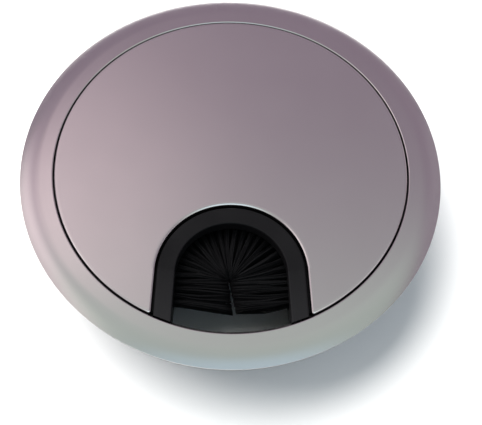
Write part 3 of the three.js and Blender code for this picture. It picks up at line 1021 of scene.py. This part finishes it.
def make_roots(material):
    """The filaments' folded ends: loops packed round the core wire inside the channel."""
    rng = random.Random("roots")
    vertices, faces = [], []
    total = WIRE_LINE * HALF_ARCH + LEG_LENGTH - 0.2
    for i in range(ROOT_LOOPS):
        distance = -total + 2 * total * i / (ROOT_LOOPS - 1)
        centre, inward = along_u(WIRE_LINE, distance)
        size = rng.uniform(0.62, 0.68)
        points = [(1.9, size * 0.9), (1.0, size * 1.02), (0.3, size), (-0.25, size * 0.8), (-size * 0.98, 0),
                  (-0.25, -size * 0.8), (0.3, -size), (1.0, -size * 1.02), (1.9, -size * 0.9)]
        path = [Vector((*(centre + inward * x), LEVEL + z)) for x, z in points]
        tube(smooth_path(path, LOOP_STEPS), [LOOP_THICKNESS] * LOOP_STEPS, vertices, faces)
    roots = piece("filament_loops", vertices, faces, material)
    roots.data.shade_smooth()
    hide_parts("bristle_roots")
    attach(roots, "lid")


# ---- Camera, floor and light ----

def aim(obj, direction, roll=0.0):
    """Turns an object's -Z towards a direction, with its top up, then rolls it about that direction."""
    turn = Vector(direction).to_track_quat("-Z", "Y")
    obj.rotation_mode = "QUATERNION"
    obj.rotation_quaternion = turn @ Matrix.Rotation(roll, 4, "Z").to_quaternion()


def from_angles(azimuth, elevation):
    """Unit vector from degrees; azimuth 0 is towards -Y, the front, and 90 towards +X, the right."""
    a, e = math.radians(azimuth), math.radians(elevation)
    return Vector((math.sin(a) * math.cos(e), -math.cos(a) * math.cos(e), math.sin(e)))


# Camera, with its target and distance in millimetres, its angles in degrees and its lens in millimetres
CAMERA_TARGET = Vector((1.99, -11.64, TOP))
CAMERA_DISTANCE = 210.5
CAMERA_AZIMUTH = -3.50
CAMERA_ELEVATION = 62.94
CAMERA_ROLL = 3.70
CAMERA_LENS = 74.69


def make_camera():
    """Stands in front of the grommet and looks down at it at 63 degrees, a little turned and tilted."""
    back = from_angles(CAMERA_AZIMUTH, CAMERA_ELEVATION)
    data = bpy.data.cameras.new("camera")
    data.sensor_width = 36
    data.lens = CAMERA_LENS
    data.clip_start = 0.01
    data.clip_end = 10
    camera = bpy.data.objects.new("camera", data)
    camera.location = (CAMERA_TARGET + back * CAMERA_DISTANCE) * MM
    aim(camera, -back, math.radians(CAMERA_ROLL))
    bpy.context.scene.collection.objects.link(camera)
    bpy.context.scene.camera = camera


FLOOR_HALF = 1500


def make_floor():
    """Pale ground that the grommet stands on."""
    half = FLOOR_HALF
    outline = [(-half, -half, 0), (half, -half, 0), (half, half, 0), (-half, half, 0)]
    material, _, shader = new_material("floor")
    shader.inputs["Base Color"].default_value = (0.9, 0.9, 0.9, 1)
    shader.inputs["Roughness"].default_value = 0.9
    shader.inputs["Specular IOR Level"].default_value = 0.1
    floor = piece("floor", outline, [(0, 1, 2, 3)], material)


# Soft lights all round: azimuth, elevation, the angles where each is full and where it ends, and its colour.
# Azimuth 0 is the front and -90 the left. The last three are centred below the horizon.
SKY = (0.19, 0.148, 0.185)
SOFT_LIGHTS = (
    (180, 45, 20, 70, (0.05, 0.04, 0.05)),
    (-160, 61, 1, 12, (0.40, 0.32, 0.32)),
    (-139, 59, 2, 13, (0.40, 0.32, 0.32)),
    (-116, 42, 4, 24, (0.24, 0.19, 0.20)),
    (-92, 26, 12, 40, (0.46, 0.42, 0.40)),
    (8, 62, 38, 62, (0.20, 0.29, 0.22)),
    (5, 40, 8, 42, (0.06, 0.12, 0.21)),
    (106, 20, 8, 34, (0.07, 0.07, 0.07)),
    (0, -60, 80, 98, (0.40, 0.40, 0.40)),
    (-84, -18, 14, 35, (0.95, 0.93, 0.90)),
    (72, -18, 14, 35, (0.7, 0.7, 0.7)),
)

SOFTBOX_DISTANCE = 0.8  # in metres


def vector_math(tree, operation, inputs):
    made = node(tree, "ShaderNodeVectorMath", inputs, operation=operation)
    return made.outputs["Value" if operation == "DOT_PRODUCT" else "Vector"]


def make_world():
    """A dim sky with wide soft lights in it, which is what the metal mirrors."""
    world = bpy.data.worlds.new("studio")
    world.use_nodes = True
    tree = world.node_tree
    place = node(tree, "ShaderNodeTexCoord").outputs["Generated"]
    total = node(tree, "ShaderNodeCombineXYZ", {"X": SKY[0], "Y": SKY[1], "Z": SKY[2]}).outputs["Vector"]
    for azimuth, elevation, full, end, colour in SOFT_LIGHTS:
        axis = from_angles(azimuth, elevation)
        dot = vector_math(tree, "DOT_PRODUCT", {0: place, 1: axis})
        fading = math.cos(math.radians(end))
        bright = math.cos(math.radians(full))
        inputs = {"Value": dot, "From Min": fading, "From Max": bright}
        share = node(tree, "ShaderNodeMapRange", inputs, interpolation_type="SMOOTHERSTEP").outputs["Result"]
        tint = vector_math(tree, "SCALE", {0: colour, "Scale": share})
        total = vector_math(tree, "ADD", {0: total, 1: tint})
    tree.links.new(total, tree.nodes["Background"].inputs["Color"])
    tree.nodes["Background"].inputs["Strength"].default_value = 1.0
    bpy.context.scene.world = world


def make_softbox(name, shape, size, energy, colour, azimuth, elevation):
    """Softbox turned towards the grommet. The metal doesn't mirror it, because the sky's lights do that."""
    data = bpy.data.lights.new(name, "AREA")
    data.shape = shape
    data.size, data.size_y = size
    data.energy = energy
    data.color = colour
    light = bpy.data.objects.new(name, data)
    away = from_angles(azimuth, elevation)
    light.location = away * SOFTBOX_DISTANCE
    aim(light, -away)
    light.visible_glossy = False
    bpy.context.scene.collection.objects.link(light)


make_camera()
make_floor()
make_world()
make_softbox("key", "ELLIPSE", (1.25, 0.8), 16.5, (1.0, 0.985, 0.96), -136, 58)
make_softbox("fill", "ELLIPSE", (1.2, 1.0), 1.1, (0.66, 0.82, 1.0), 50, 48)

# Each plate is painted brighter along its edge rounding, a painted highlight, and dark below it, as painted
# shade on the housing's lip and the lid's walls.
nickel = satin_nickel("satin_nickel", TOP - 0.03, TOP - 0.45)
housing_nickel = satin_nickel("housing_nickel", RIM_EDGE, RIM_EDGE - 0.25)
plastic = moulded_plastic()
nylon_black = nylon()
zinc_strip = galvanised()
zinc_screw = screw_steel()

make_housing(housing_nickel)
make_lid(nickel)
make_seat_ring(seat_rubber())
make_frame(plastic)
make_clamp(plastic)
make_channel(zinc_strip)
make_wire(zinc_strip)
make_roots(nylon_black)
for screw in SCREWS:
    make_screw(screw, zinc_screw)
for bank_joint in frame["joints"]:
    if bank_joint["name"].startswith("bend_"):
        make_bank(bank_joint, nylon_black)

bpy.context.scene.view_settings.view_transform = "Standard"
